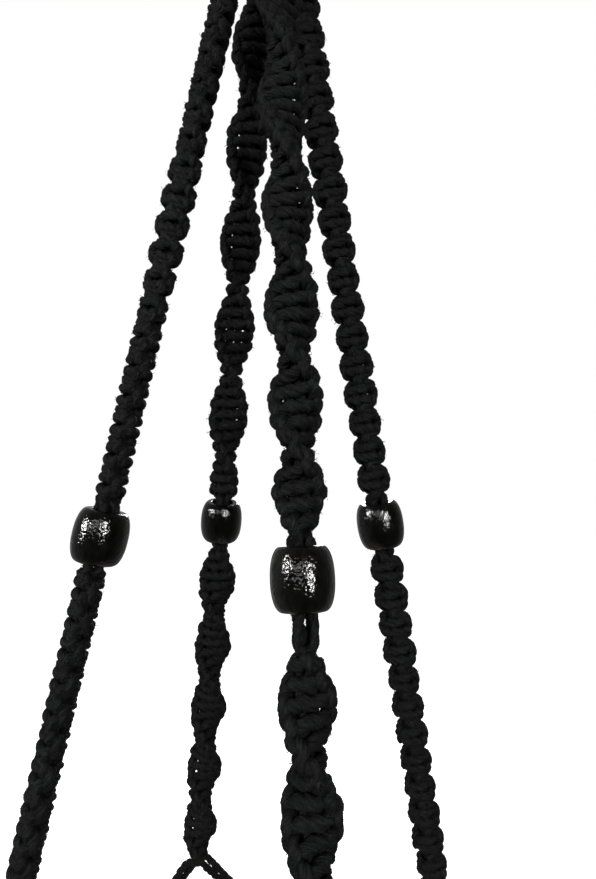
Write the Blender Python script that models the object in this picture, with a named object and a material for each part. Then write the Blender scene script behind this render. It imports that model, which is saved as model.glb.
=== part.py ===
"""Hanging macrame planter: four knotted cord arms with beads, hung from a steel ring, holding a pot.

Metres, +Z up. The origin is where a hook bears on the inside of the ring's top, and everything
hangs below it. The arms stand at -Y (front), +X (right), +Y (rear) and -X (left).
"""

import math

import bmesh
import bpy
from mathutils import Matrix, Vector

# Cord and the space left between pieces that touch
CORD = 0.004
GAP = 0.0003
POT_GAP = 0.0006
KNOT_GAP = 0.0014

# Ring
RING_RADIUS = 0.0275
RING_WIRE = 0.0025
FOLD_GAP = 0.0008
FOLD_WIDTH = 0.016
FOLD_LAYER = 0.0076

# Gathered cords and the wrappings around them
BUNDLE_RADIUS = 0.009
WRAP_RADIUS = 0.013
WRAP_HEIGHT = 0.032
TOP_WRAP_Z = -0.074
BOTTOM_WRAP_Z = -0.812

# Arms: straight lines that spread downwards, with one bead on each
BEAD_Z = -0.370
ARM_RADIUS = 0.058
ARM_SLOPE = 0.1965
NECK_RADIUS = 0.0041
NECK_END_Z = -0.125
KNOTS_FULL_Z = -0.150
KNOT_TAPER = 0.006
SPLIT_Z = -0.567
ARMS = {"front": -90, "right": 0, "rear": 90, "left": 180}
BEAD_OFFSET = {"front": -0.003, "right": 0.0035, "rear": -0.002, "left": 0.002}
PLAIN_ABOVE_BEAD = 0.003
PLAIN_BELOW_BEAD = {"front": 0.010, "right": 0.003, "rear": 0.003, "left": 0.003}

# Knotted sections: half sizes across and through each arm's knots
SENNIT_HALF = {
    "front": (0.0092, 0.0050),
    "right": (0.0085, 0.0068),
    "rear": (0.0092, 0.0050),
    "left": (0.0085, 0.0056),
}
FLAT_STEP = 0.030

# Spiral sections: one height, from the beads, where the knots face nearly outwards, and the length
# of half a turn there and further down
SPIRALS = {
    "front_upper": {"lobe": 0.160, "top": 0.045, "foot": 0.0285},
    "front_lower": {"lobe": -0.038, "top": 0.031, "foot": 0.031},
    "rear_upper": {"lobe": 0.169, "top": 0.0395, "foot": 0.0395},
    "rear_lower": {"lobe": -0.032, "top": 0.0356, "foot": 0.0356},
}
SPIRAL_SPAN = 0.140
SPIRAL_FACING = math.radians(-16)
SPIRAL_STEP = 0.0062

# Beads
BEAD_RADIUS = 0.010
BEAD_LENGTH = 0.0195
BEAD_END_RADIUS = 0.0067
BEAD_BORE = 0.0050

# Pot
POT_RIM_Z = -0.602
POT_HEIGHT = 0.160
POT_RIM_RADIUS = 0.101
POT_BASE_RADIUS = 0.066
POT_TAPER = (POT_RIM_RADIUS - POT_BASE_RADIUS) / POT_HEIGHT
POT_WALL = 0.005
POT_FLOOR = 0.006
POT_SEGMENTS = 48

# Basket of cords around the pot
CORNERS = {"front_right": -45, "rear_right": 45, "rear_left": 135, "front_left": -135}
BASKET_KNOT_Z = -0.668
BASKET_KNOT_HEIGHT = 0.018
BASKET_KNOT_HALF = (0.0085, 0.0050)

# Tassel
TASSEL_END_Z = -1.008
TASSEL_RADIUS = 0.0140
TASSEL_SWING = math.radians(35)

DOWN = Vector((0, 0, -1))


def clear_scene():
    for thing in list(bpy.data.objects):
        bpy.data.objects.remove(thing, do_unlink=True)


def make_material(name, colour, roughness, metallic=0.0):
    material = bpy.data.materials.new(name)
    material.use_nodes = True
    shader = material.node_tree.nodes["Principled BSDF"]
    shader.inputs["Base Color"].default_value = (*colour, 1)
    shader.inputs["Roughness"].default_value = roughness
    shader.inputs["Metallic"].default_value = metallic
    material.diffuse_color = (*colour, 1)
    return material


def add_object(name, shape, finish):
    """Turn a bmesh into a named object with its own copy of the finish."""
    bmesh.ops.recalc_face_normals(shape, faces=shape.faces)
    mesh = bpy.data.meshes.new(name)
    shape.to_mesh(mesh)
    shape.free()
    mesh.shade_smooth()
    mesh.set_sharp_from_angle(angle=math.radians(40))
    mesh.materials.append(make_material(name, **finish))
    thing = bpy.data.objects.new(name, mesh)
    bpy.context.collection.objects.link(thing)
    return thing


def skin(rings, closed=False):
    """A bmesh through rings of points, capped at both ends unless the last ring joins the first."""
    shape = bmesh.new()
    loops = [[shape.verts.new(point) for point in ring] for ring in rings]
    pairs = list(zip(loops, loops[1:]))
    if closed:
        pairs.append((loops[-1], loops[0]))
    else:
        shape.faces.new(loops[0])
        shape.faces.new(loops[-1])
    for low, high in pairs:
        for i in range(len(low)):
            j = (i + 1) % len(low)
            shape.faces.new((low[i], low[j], high[j], high[i]))
    return shape


def circle(centre, radius, side, up, count):
    angles = [math.tau * i / count for i in range(count)]
    return [centre + side * (radius * math.cos(a)) + up * (radius * math.sin(a)) for a in angles]


def flat_section(centre, side, face, half_width, half_depth):
    """Eight points around a flat bundle; equal halves give a regular octagon."""
    long_side = half_width - half_depth * (1 - math.tan(math.pi / 8))
    short_side = half_depth * math.tan(math.pi / 8)
    corners = [
        (half_width, -short_side),
        (half_width, short_side),
        (long_side, half_depth),
        (-long_side, half_depth),
        (-half_width, short_side),
        (-half_width, -short_side),
        (-long_side, -half_depth),
        (long_side, -half_depth),
    ]
    return [centre + side * a + face * b for a, b in corners]


def ease(t):
    t = min(max(t, 0.0), 1.0)
    return t * t * (3 - 2 * t)


def mix(a, b, t):
    return a + (b - a) * t


def turned(profile, count, closed=False):
    """Turn (radius, z) points about the Z axis."""
    rings = [circle(Vector((0, 0, z)), r, Vector((1, 0, 0)), Vector((0, 1, 0)), count) for r, z in profile]
    return skin(rings, closed)


def outward(degrees):
    return Vector((math.cos(math.radians(degrees)), math.sin(math.radians(degrees)), 0))


def around(degrees):
    return outward(degrees + 90)


def arm_radius(z):
    return ARM_RADIUS + ARM_SLOPE * (BEAD_Z - z)


def arm_point(degrees, z):
    return outward(degrees) * arm_radius(z) + Vector((0, 0, z))


def arm_direction(degrees):
    """Unit vector up along an arm."""
    return (Vector((0, 0, 1)) - outward(degrees) * ARM_SLOPE).normalized()


def arm_face(degrees):
    """Unit vector square to an arm, away from the hanger's middle."""
    return arm_direction(degrees).cross(around(degrees)) * -1


def bead_z(arm):
    return BEAD_Z + BEAD_OFFSET[arm]


def bead_end_z(arm, side):
    """Height of a bead's upper (+1) or lower (-1) flat end."""
    return bead_z(arm) + side * BEAD_LENGTH / 2 / math.hypot(1, ARM_SLOPE)


def pot_radius(z):
    """Outer radius of the pot's straight wall."""
    t = (POT_RIM_Z - z) / POT_HEIGHT
    return mix(POT_RIM_RADIUS, POT_BASE_RADIUS, min(max(t, 0), 1))


def make_ring():
    centre = Vector((0, 0, RING_WIRE - RING_RADIUS))
    rings = []
    for i in range(32):
        spoke = Vector((math.cos(math.tau * i / 32), 0, math.sin(math.tau * i / 32)))
        rings.append(circle(centre + spoke * RING_RADIUS, RING_WIRE, spoke, Vector((0, 1, 0)), 8))
    add_object("hanging_ring", skin(rings, closed=True), STEEL)


def make_ring_fold():
    """All cords folded over the ring's lowest stretch, and their legs down to the top wrapping."""
    wire_z = RING_WIRE - 2 * RING_RADIUS
    reach = RING_WIRE + FOLD_GAP + FOLD_LAYER / 2
    path = []
    for i in range(9):
        turn = math.pi * i / 8
        path.append((math.cos(turn) * reach, wire_z + math.sin(turn) * reach, turn))
    leg_y = FOLD_LAYER / 2 + GAP
    leg_z = TOP_WRAP_Z + GAP
    path.insert(0, (mix(reach, leg_y, 0.8), mix(wire_z, leg_z, 0.6), 0))
    path.insert(0, (leg_y, leg_z, 0))
    path.append((-mix(reach, leg_y, 0.8), mix(wire_z, leg_z, 0.6), math.pi))
    path.append((-leg_y, leg_z, math.pi))
    rings = []
    for y, z, turn in path:
        face = Vector((0, math.cos(turn), math.sin(turn)))
        half_width = mix(FOLD_WIDTH, BUNDLE_RADIUS * 1.6, ease((wire_z - z) / (wire_z - leg_z))) / 2
        rings.append(flat_section(Vector((0, y, z)), Vector((1, 0, 0)), face, half_width, FOLD_LAYER / 2))
    add_object("ring_cord_fold", skin(rings), CORD_FINISH)


def make_wrap(name, top_z):
    """A cord wound round and round the gathered cords: a ribbed tube."""
    turns = round(WRAP_HEIGHT / CORD)
    rib = WRAP_HEIGHT / turns
    inner = BUNDLE_RADIUS + GAP
    profile = [(inner, top_z), (inner, top_z - WRAP_HEIGHT)]
    for i in reversed(range(turns)):
        bottom = top_z - (i + 1) * rib
        profile.append((WRAP_RADIUS - CORD * 0.25, bottom))
        profile.append((WRAP_RADIUS, bottom + rib / 2))
    profile.append((WRAP_RADIUS - CORD * 0.25, top_z))
    add_object(name, turned(profile, 20, closed=True), CORD_FINISH)


def make_bundle(name, top_z):
    add_object(name, turned([(BUNDLE_RADIUS, top_z - WRAP_HEIGHT), (BUNDLE_RADIUS, top_z)], 20), CORD_FINISH)


def spiral_turn(section, z):
    """How far a section's knots have turned about their arm at a height; a flat sennit never turns."""
    if section not in SPIRALS:
        return 0.0
    spiral = SPIRALS[section]
    below = BEAD_Z + spiral["lobe"] - z
    slow, fast = 1 / spiral["top"], 1 / spiral["foot"]
    half_turns = slow * below + (fast - slow) * max(below, 0.0) ** 2 / (2 * SPIRAL_SPAN)
    return SPIRAL_FACING + math.pi * half_turns


def make_sennit(arm, part, heights, half, top_taper):
    """A knotted stretch of an arm, which thins to the bare cords over its top taper and at its foot."""
    degrees = ARMS[arm]
    along = arm_direction(degrees)
    rings = []
    for z in heights:
        full = ease((top_taper[0] - z) / (top_taper[0] - top_taper[1])) * ease((z - heights[-1]) / KNOT_TAPER)
        turn = Matrix.Rotation(spiral_turn(f"{arm}_{part}", z), 3, along)
        side = turn @ around(degrees)
        face = turn @ arm_face(degrees)
        width = mix(NECK_RADIUS, half[0], full)
        depth = mix(NECK_RADIUS, half[1], full)
        rings.append(flat_section(arm_point(degrees, z), side, face, width, depth))
    add_object(f"{arm}_{part}_sennit", skin(rings), CORD_FINISH)


def steps(top, bottom, step):
    count = max(2, round((top - bottom) / step))
    return [mix(top, bottom, i / count) for i in range(count + 1)]


def make_arm(arm):
    half = SENNIT_HALF[arm]
    step = SPIRAL_STEP if arm + "_upper" in SPIRALS else FLAT_STEP
    upper_end = bead_end_z(arm, 1) + PLAIN_ABOVE_BEAD
    lower_start = bead_end_z(arm, -1) - PLAIN_BELOW_BEAD[arm]
    heights = [TOP_WRAP_Z - WRAP_HEIGHT - KNOT_GAP] + steps(NECK_END_Z, KNOTS_FULL_Z, KNOT_TAPER)
    heights += steps(KNOTS_FULL_Z, upper_end + KNOT_TAPER, step)[1:] + [upper_end]
    make_sennit(arm, "upper", heights, half, (NECK_END_Z, KNOTS_FULL_Z))
    heights = [lower_start] + steps(lower_start - KNOT_TAPER, SPLIT_Z + KNOT_TAPER, step) + [SPLIT_Z]
    make_sennit(arm, "lower", heights, half, (lower_start, lower_start - KNOT_TAPER))
    make_bead_cords(arm, upper_end - GAP, lower_start + GAP)
    make_bead(arm)


def make_bead_cords(arm, top, bottom):
    """The four bare cords that run through a bead, two by two, as one clover-shaped bar."""
    degrees = ARMS[arm]
    offset = CORD * 0.46 * math.sqrt(2)
    rings = []
    for z in (top, bottom):
        ring = []
        for i in range(16):
            angle = math.tau * i / 16
            lobe = (angle % (math.pi / 2)) - math.pi / 4
            reach = offset * math.cos(lobe) + math.sqrt((CORD / 2) ** 2 - (offset * math.sin(lobe)) ** 2)
            side = around(degrees) * (reach * math.cos(angle))
            ring.append(arm_point(degrees, z) + side + arm_face(degrees) * (reach * math.sin(angle)))
        rings.append(ring)
    add_object(arm + "_bead_cords", skin(rings), CORD_FINISH)


def make_bead(arm):
    """A barrel bead with a straight bore, its axis along the arm."""
    degrees = ARMS[arm]
    bulge = BEAD_RADIUS - BEAD_END_RADIUS
    profile = [(BEAD_BORE, BEAD_LENGTH / 2), (BEAD_BORE, -BEAD_LENGTH / 2)]
    for i in range(7):
        height = BEAD_LENGTH / 2 * math.sin(math.pi * (i - 3) / 6)
        swell = math.sqrt(max(0.0, 1 - abs(2 * height / BEAD_LENGTH) ** 2.6))
        profile.append((BEAD_END_RADIUS + bulge * swell, height))
    shape = turned(profile, 24, closed=True)
    bead = add_object(arm + "_bead", shape, BEAD_FINISH)
    rotation = Vector((0, 0, 1)).rotation_difference(arm_direction(degrees))
    bead.rotation_mode = "QUATERNION"
    bead.rotation_quaternion = rotation
    bead.location = arm_point(degrees, bead_z(arm))


def make_pair(name, start, turn_sign):
    """Two cords side by side, from an arm's split over the rim and down the pot to a basket knot."""
    finish_z = BASKET_KNOT_Z + BASKET_KNOT_HEIGHT / 2 + KNOT_GAP
    begin_z = SPLIT_Z - KNOT_GAP
    side_step = math.degrees(CORD * 1.08 / POT_RIM_RADIUS)
    heights = steps(begin_z, POT_RIM_Z, 0.012) + steps(POT_RIM_Z - POT_WALL / 2, finish_z, 0.011)
    count = len(heights) - 1
    centres = []
    faces = []
    for z in heights:
        t = (begin_z - z) / (begin_z - finish_z)
        degrees = start + turn_sign * mix(side_step, 45 - side_step, t)
        contact = POT_RIM_RADIUS + POT_GAP + CORD / 2
        if z > POT_RIM_Z:
            radius = mix(arm_radius(begin_z), contact, (begin_z - z) / (begin_z - POT_RIM_Z))
            lean = ARM_SLOPE
        else:
            radius = pot_radius(z) + POT_GAP + CORD / 2
            lean = -POT_TAPER
        centres.append(outward(degrees) * radius + Vector((0, 0, z)))
        faces.append(outward(degrees) + Vector((0, 0, lean)))
    rings = []
    for i, centre in enumerate(centres):
        along = (centres[min(i + 1, count)] - centres[max(i - 1, 0)]).normalized()
        if i in (0, count):
            along = DOWN
        face = (faces[i] - along * faces[i].dot(along)).normalized()
        rings.append(flat_section(centre, along.cross(face), face, CORD * 0.98, CORD / 2))
    add_object(name, skin(rings), CORD_FINISH)


def make_basket_knot(name, degrees):
    """Square knots that join four cords on the pot's side."""
    wall = Vector((0, 0, 1)) * POT_HEIGHT + outward(degrees) * (POT_RIM_RADIUS - POT_BASE_RADIUS)
    along = wall.normalized()
    face = along.cross(around(degrees)) * -1
    rings = []
    for t, swell in ((-1, 0.72), (-0.6, 1), (0.6, 1), (1, 0.72)):
        z = BASKET_KNOT_Z + t * BASKET_KNOT_HEIGHT / 2
        half = (BASKET_KNOT_HALF[0] * swell, BASKET_KNOT_HALF[1] * swell)
        radius = pot_radius(z) + POT_GAP + BASKET_KNOT_HALF[1] * 1.08
        centre = outward(degrees) * radius + Vector((0, 0, z))
        rings.append(flat_section(centre, around(degrees), face, *half))
    add_object(name, skin(rings), CORD_FINISH)


def make_basket_leg(name, degrees):
    """Four cords side by side, down the pot from a basket knot and under it to the bottom wrapping."""
    lift = POT_GAP + CORD / 2
    base_z = POT_RIM_Z - POT_HEIGHT
    start_z = BASKET_KNOT_Z - BASKET_KNOT_HEIGHT / 2 - KNOT_GAP
    end_z = BOTTOM_WRAP_Z + GAP
    path = [(pot_radius(z) + lift, z, 0.0) for z in (start_z, mix(start_z, base_z, 0.5), base_z + 0.004)]
    path.append((POT_BASE_RADIUS + lift * 0.3, base_z - lift * 0.95, 0.05))
    path.append((POT_BASE_RADIUS - 0.006, base_z - lift * 1.6, 0.1))
    inner = (0.0063, end_z)
    for t in (0.3, 0.6, 0.85):
        path.append((mix(POT_BASE_RADIUS - 0.006, inner[0] + 0.004, t), mix(base_z - lift * 1.6, end_z + 0.008, t), t))
    path.append((inner[0], end_z + 0.004, 1.0))
    path.append((inner[0], end_z, 1.0))
    rings = []
    for i, (radius, z, gathered) in enumerate(path):
        before = path[max(i - 1, 0)]
        after = path[min(i + 1, len(path) - 1)]
        along = (outward(degrees) * (after[0] - before[0]) + Vector((0, 0, after[1] - before[1]))).normalized()
        if i in (0, len(path) - 1):
            along = DOWN
        side = around(degrees)
        face = side.cross(along)
        half_width = mix(2 * CORD, NECK_RADIUS, ease(gathered))
        half_depth = mix(CORD / 2, NECK_RADIUS, ease(gathered))
        centre = outward(degrees) * radius + Vector((0, 0, z))
        rings.append(flat_section(centre, side, face, half_width, half_depth))
    add_object(name, skin(rings), CORD_FINISH)


def make_pot():
    """A plain tapered pot, open at the top."""
    base_z = POT_RIM_Z - POT_HEIGHT
    floor_z = base_z + POT_FLOOR
    lip = POT_WALL * 0.3
    profile = [
        (POT_BASE_RADIUS - lip * 2, base_z),
        (POT_BASE_RADIUS, base_z + lip * 2),
        (POT_RIM_RADIUS, POT_RIM_Z - lip),
        (POT_RIM_RADIUS - lip, POT_RIM_Z),
        (POT_RIM_RADIUS - POT_WALL + lip, POT_RIM_Z),
        (POT_RIM_RADIUS - POT_WALL, POT_RIM_Z - lip),
        (pot_radius(floor_z) - POT_WALL, floor_z + lip * 2),
        (pot_radius(floor_z) - POT_WALL - lip * 2, floor_z),
    ]
    add_object("pot", turned(profile, POT_SEGMENTS), CERAMIC)


def make_tassel():
    """The cut ends below the bottom wrapping; its conical top leaves room for it to swing."""
    top = BOTTOM_WRAP_Z - WRAP_HEIGHT - GAP
    shoulder = top - BUNDLE_RADIUS * math.tan(TASSEL_SWING) - GAP
    profile = [
        (0.0006, top),
        (BUNDLE_RADIUS, shoulder),
        (mix(BUNDLE_RADIUS, TASSEL_RADIUS, 0.6), mix(shoulder, TASSEL_END_Z, 0.45)),
        (TASSEL_RADIUS, TASSEL_END_Z),
    ]
    add_object("tassel", turned(profile, 16), CORD_FINISH)


STEEL = {"colour": (0.55, 0.55, 0.56), "roughness": 0.3, "metallic": 1.0}
CORD_FINISH = {"colour": (0.012, 0.013, 0.013), "roughness": 0.95}
BEAD_FINISH = {"colour": (0.012, 0.010, 0.009), "roughness": 0.18}
CERAMIC = {"colour": (0.82, 0.80, 0.76), "roughness": 0.25}


def build():
    clear_scene()
    make_ring()
    make_ring_fold()
    make_bundle("top_cord_bundle", TOP_WRAP_Z)
    make_wrap("top_wrap", TOP_WRAP_Z)
    for arm in ARMS:
        make_arm(arm)
    for arm, degrees in ARMS.items():
        for corner, corner_degrees in CORNERS.items():
            turn = (corner_degrees - degrees + 180) % 360 - 180
            if abs(turn) == 45:
                make_pair(f"{arm}_pair_to_{corner}", degrees, turn / 45)
    for corner, degrees in CORNERS.items():
        make_basket_knot(corner + "_basket_knot", degrees)
        make_basket_leg(corner + "_basket_leg", degrees)
    make_bundle("bottom_cord_bundle", BOTTOM_WRAP_Z)
    make_wrap("bottom_wrap", BOTTOM_WRAP_Z)
    make_tassel()
    make_pot()


build()
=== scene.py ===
"""Looks of the hanging macrame planter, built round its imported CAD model.

Every cord is a twisted strand swept along the route that it takes: folded over the ring, down through
an arm's knots and bead, round the pot and into the tassel. Metres, in the CAD model's own frame.
"""

import itertools
import math

import bpy
import numpy as np
from mathutils import Matrix


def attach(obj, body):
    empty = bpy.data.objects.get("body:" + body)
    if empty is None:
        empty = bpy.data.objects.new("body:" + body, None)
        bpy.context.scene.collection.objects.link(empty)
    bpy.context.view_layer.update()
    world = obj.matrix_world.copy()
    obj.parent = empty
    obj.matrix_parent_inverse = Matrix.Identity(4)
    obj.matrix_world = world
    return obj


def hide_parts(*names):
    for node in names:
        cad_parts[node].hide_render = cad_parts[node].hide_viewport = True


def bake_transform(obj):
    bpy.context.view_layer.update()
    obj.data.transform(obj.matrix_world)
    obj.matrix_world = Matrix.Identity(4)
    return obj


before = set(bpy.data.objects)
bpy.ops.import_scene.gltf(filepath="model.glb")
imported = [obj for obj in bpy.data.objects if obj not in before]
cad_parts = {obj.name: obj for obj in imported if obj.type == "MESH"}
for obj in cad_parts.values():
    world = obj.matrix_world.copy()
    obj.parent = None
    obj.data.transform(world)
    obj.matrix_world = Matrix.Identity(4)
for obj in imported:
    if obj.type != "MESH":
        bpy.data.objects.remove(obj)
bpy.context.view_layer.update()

# Sizes shared with the CAD model
CORD = 0.004
CORD_RADIUS = CORD / 2
RING_RADIUS = 0.0275
RING_WIRE = 0.0025
FOLD_GAP = 0.0008
BUNDLE_RADIUS = 0.009
BUNDLE_OUTER = BUNDLE_RADIUS - CORD_RADIUS
BUNDLE_INNER = BUNDLE_RADIUS * 0.29
WRAP_RADIUS = 0.013
WRAP_HEIGHT = 0.032
TOP_WRAP_Z = -0.074
BOTTOM_WRAP_Z = -0.812
BEAD_Z = -0.370
ARM_RADIUS = 0.058
ARM_SLOPE = 0.1965
SPLIT_Z = -0.567
ARMS = {"front": -90, "right": 0, "rear": 90, "left": 180}
BEAD_OFFSET = {"front": -0.003, "right": 0.0035, "rear": -0.002, "left": 0.002}
SPIRALS = {
    "front_upper": {"lobe": 0.160, "top": 0.045, "foot": 0.0285},
    "front_lower": {"lobe": -0.038, "top": 0.031, "foot": 0.031},
    "rear_upper": {"lobe": 0.169, "top": 0.0395, "foot": 0.0395},
    "rear_lower": {"lobe": -0.032, "top": 0.0356, "foot": 0.0356},
}
SPIRAL_SPAN = 0.140
SPIRAL_FACING = math.radians(-16)
BEAD_RADIUS = 0.010
BEAD_LENGTH = 0.0195
BEAD_END_RADIUS = 0.0067
BEAD_BORE = 0.0050
POT_RIM_Z = -0.602
POT_HEIGHT = 0.160
POT_RIM_RADIUS = 0.101
POT_BASE_RADIUS = 0.066
POT_WALL = 0.005
POT_FLOOR = 0.006
POT_GAP = 0.0006
CORNERS = {"front_right": -45, "rear_right": 45, "rear_left": 135, "front_left": -135}
BASKET_KNOT_Z = -0.668
BASKET_KNOT_HEIGHT = 0.018
TASSEL_END_Z = -1.008
TASSEL_RADIUS = 0.0140

# Cord inside knots: working cords swell across the core, and squeeze the two straight core cords
EDGE_RADIUS = 0.00205
BAR_RADIUS = 0.00258
SPIRAL_CORE = {"radius": 0.0019, "offset": 0.0019}
SQUARE_CORE = {"radius": 0.0015, "offset": 0.00135}
CORE_STEP = 0.0026
PINCH = 1.3

# A strand's section: plies, the depth of the grooves between them, how far one turn of them goes,
# and slow swellings along it as (share of its radius, radians per metre)
LAY = 0.0125
PLIES = 3
PLY_GROOVE = 0.28
SECTION_POINTS = 12
STRAND_STEP = 0.0006
CURVE_STEPS = 10
LUMPS = ((0.03, 900), (0.03, 370))

# Loose fibres: how many, how long, how steeply they leave the cord, how thick and how curly
HAIRS_PER_METRE = 2300
HAIR_REACH = 0.0017
HAIR_RISE = 1.1
HAIR_ALONG = 1.2
HAIR_THINNEST = 0.00008
HAIR_SPREAD = 0.00014
HAIR_ROOT_DEPTH = 0.00025
HAIR_CURL = 0.3
HAIR_POINTS = 7
FOLD_HAIR_REACH = 0.0006
TASSEL_HAIR_REACH = 0.0009
FRAY_REACH = 0.0019
FRAY_RISE = 1.3
FRAY_HAIRS = 110

# One working cord's crossing of the core, from the edge to the middle: shares of the knot's reach
# across, of its depth, and of its height. It hooks round the other cord at the edge.
HALF_CROSSING = (
    (-1.02, -0.36, 0.20),
    (-0.97, -0.50, 0.46),
    (-0.87, -0.12, 0.69),
    (-0.74, 0.52, 0.68),
    (-0.52, 0.90, 0.58),
    (-0.24, 1.00, 0.52),
)
SPIRAL_PITCH = 0.0051
SPIRAL_REACH = 0.0072
SPIRAL_DEPTH = 0.0029
SPIRAL_UNEVENNESS = 0.025
# A spiral's end knots are drawn in: the share of its reach at which its cords come in and go out, its
# end knots' share of the full size, and what each knot away from the end adds to it
SPIRAL_START = 0.55
SPIRAL_LEAVE = 0.6
SPIRAL_END_SIZE = 0.66
SPIRAL_END_STEP = 0.16
KNOTS_TOP_Z = -0.136
NECK_SHARE = 0.62

# Bare cord that every bead has room to slide along, above and below it, and where the knots begin
SLIDE_ROOM = 0.0026
KNOT_GAP_ABOVE = {"front": 0.0046, "right": 0.0040, "rear": 0.0046, "left": 0.0040}
KNOT_GAP_BELOW = {"front": 0.0118, "right": 0.0040, "rear": 0.0052, "left": 0.0040}

# Square knots: the height of one, how far above and below its middle its bars lie, how far they reach
# to the side and to the front, and how far their face is turned about the arm
RIGHT_TURN = math.radians(-121)
SQUARE = {
    "right": {"pitch": 0.0119, "bars": 0.0022, "reach": 0.0053, "depth": 0.0032, "turn": RIGHT_TURN},
    "left": {"pitch": 0.0110, "bars": 0.0023, "reach": 0.0052, "depth": 0.0032, "turn": 0.0},
    "basket": {"pitch": 0.0090, "bars": 0.0021, "reach": 0.0056, "depth": 0.0031, "turn": 0.0},
}
SQUARE_UNEVENNESS = 0.03
SQUARE_ROUNDNESS = 0.6
SQUARE_SQUEEZE = 0.95
# A crossing's course: at these shares of its height, how far it lies from the knot's middle, in times
# its bar's own distance; it starts at one waist and ends at the middle, or the other way round
BAR_STEPS = (0.0, 0.2, 0.5, 0.8, 1.0)
BAR_RISES = (1.35, 1, 0.5)
# Where the cord in front and the one behind lie at the waist between two square knots, and how far back
# a cord turns at a knot's side: shares of the reach across and of the depth
WAIST_FRONT = (0.06, 0.98)
WAIST_BACK = (0.16, 0.95)
LOOP_SIDE = 0.35
# The left arm's flat face wanders round by this much, about this height, over this half-height
LEFT_WANDER = math.radians(48)
LEFT_WANDER_Z = -0.248
LEFT_WANDER_SPAN = 0.036

# Four bare cords two by two: how far each lies from the middle, in cords, at the neck and in a bead
NECK_SPREAD = 0.5
BEAD_SPREAD = 0.46
BEAD_CORD_RADIUS = CORD_RADIUS * 0.96

rng = np.random.default_rng(5)


# ---- places

def mix(a, b, t):
    return a + (b - a) * t


def ease(t):
    t = min(max(t, 0.0), 1.0)
    return t * t * (3 - 2 * t)


def at(x, y, z):
    return np.array((x, y, z), float)


UP = at(0, 0, 1)


def unit(v):
    return v / np.linalg.norm(v)


def outward(degrees):
    return at(math.cos(math.radians(degrees)), math.sin(math.radians(degrees)), 0)


def around(degrees):
    return outward(degrees + 90)


def arm_radius(z):
    return ARM_RADIUS + ARM_SLOPE * (BEAD_Z - z)


def arm_point(degrees, z):
    return outward(degrees) * arm_radius(z) + UP * z


def arm_direction(degrees):
    return unit(UP - outward(degrees) * ARM_SLOPE)


def arm_face(degrees):
    return np.cross(around(degrees), arm_direction(degrees))


def bead_end_z(arm, side):
    return BEAD_Z + BEAD_OFFSET[arm] + side * BEAD_LENGTH / 2 / math.hypot(1, ARM_SLOPE)


def pot_radius(z):
    t = (POT_RIM_Z - z) / POT_HEIGHT
    return mix(POT_RIM_RADIUS, POT_BASE_RADIUS, min(max(t, 0), 1))


def spiral_turn(section, z):
    """How far a section's knots have turned about their arm at a height."""
    spiral = SPIRALS[section]
    below = BEAD_Z + spiral["lobe"] - z
    slow, fast = 1 / spiral["top"], 1 / spiral["foot"]
    half_turns = slow * below + (fast - slow) * max(below, 0.0) ** 2 / (2 * SPIRAL_SPAN)
    return SPIRAL_FACING + math.pi * half_turns


def bundle_spots(degrees):
    """Places of four cords in their quarter of a gathered bundle: three outside, one inside."""
    turns = ((-30, BUNDLE_OUTER), (0, BUNDLE_OUTER), (0, BUNDLE_INNER), (30, BUNDLE_OUTER))
    return [outward(degrees + turn) * reach for turn, reach in turns]


# ---- curves and meshes

def smooth_path(route, step):
    """Places, radii and lengths so far, at an even step along a smooth curve through a route."""
    points = np.asarray([place for place, _ in route], float)
    radii = np.asarray([radius for _, radius in route], float)
    gaps = np.linalg.norm(np.diff(points, axis=0), axis=1)
    keep = np.concatenate(([True], gaps > 1e-6))
    points, radii = points[keep], radii[keep]
    gaps = np.linalg.norm(np.diff(points, axis=0), axis=1)
    slopes = np.diff(points, axis=0) / gaps[:, None]
    ways = np.empty_like(points)
    ways[0], ways[-1] = slopes[0], slopes[-1]
    both_gaps = (gaps[1:] + gaps[:-1])[:, None]
    ways[1:-1] = (slopes[:-1] * gaps[1:, None] + slopes[1:] * gaps[:-1, None]) / both_gaps
    t = np.linspace(0, 1, CURVE_STEPS, endpoint=False)[None, :, None]
    start, end = points[:-1, None], points[1:, None]
    pull_in = ways[:-1, None] * gaps[:, None, None]
    pull_out = ways[1:, None] * gaps[:, None, None]
    curve = (
        start * (2 * t**3 - 3 * t**2 + 1)
        + pull_in * (t**3 - 2 * t**2 + t)
        + end * (3 * t**2 - 2 * t**3)
        + pull_out * (t**3 - t**2)
    ).reshape(-1, 3)
    curve = np.vstack((curve, points[-1]))
    widths = np.interp(np.arange(len(curve)) / CURVE_STEPS, np.arange(len(radii)), radii)
    steps = np.linalg.norm(np.diff(curve, axis=0), axis=1)
    length = np.concatenate(([0], np.cumsum(steps)))
    count = max(4, round(length[-1] / step))
    even = np.linspace(0, length[-1], count + 1)
    places = np.stack([np.interp(even, length, curve[:, i]) for i in range(3)], axis=1)
    return places, np.interp(even, length, widths), even


def carried_frames(places):
    """Directions along, and one square to it, carried along a path without turning about it."""
    along = np.gradient(places, axis=0)
    along /= np.linalg.norm(along, axis=1)[:, None]
    side = np.cross(along[0], (0.31, 0.87, 0.38))
    side /= np.linalg.norm(side)
    sides = [side]
    for i in range(len(places) - 1):
        move = places[i + 1] - places[i]
        bend = 2 / move.dot(move)
        side = side - bend * move.dot(side) * move
        old = along[i] - bend * move.dot(along[i]) * move
        turn = along[i + 1] - old
        size = turn.dot(turn)
        if size > 1e-18:
            side = side - 2 / size * turn.dot(side) * turn
        sides.append(side)
    sides = np.array(sides)
    return along, sides


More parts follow.
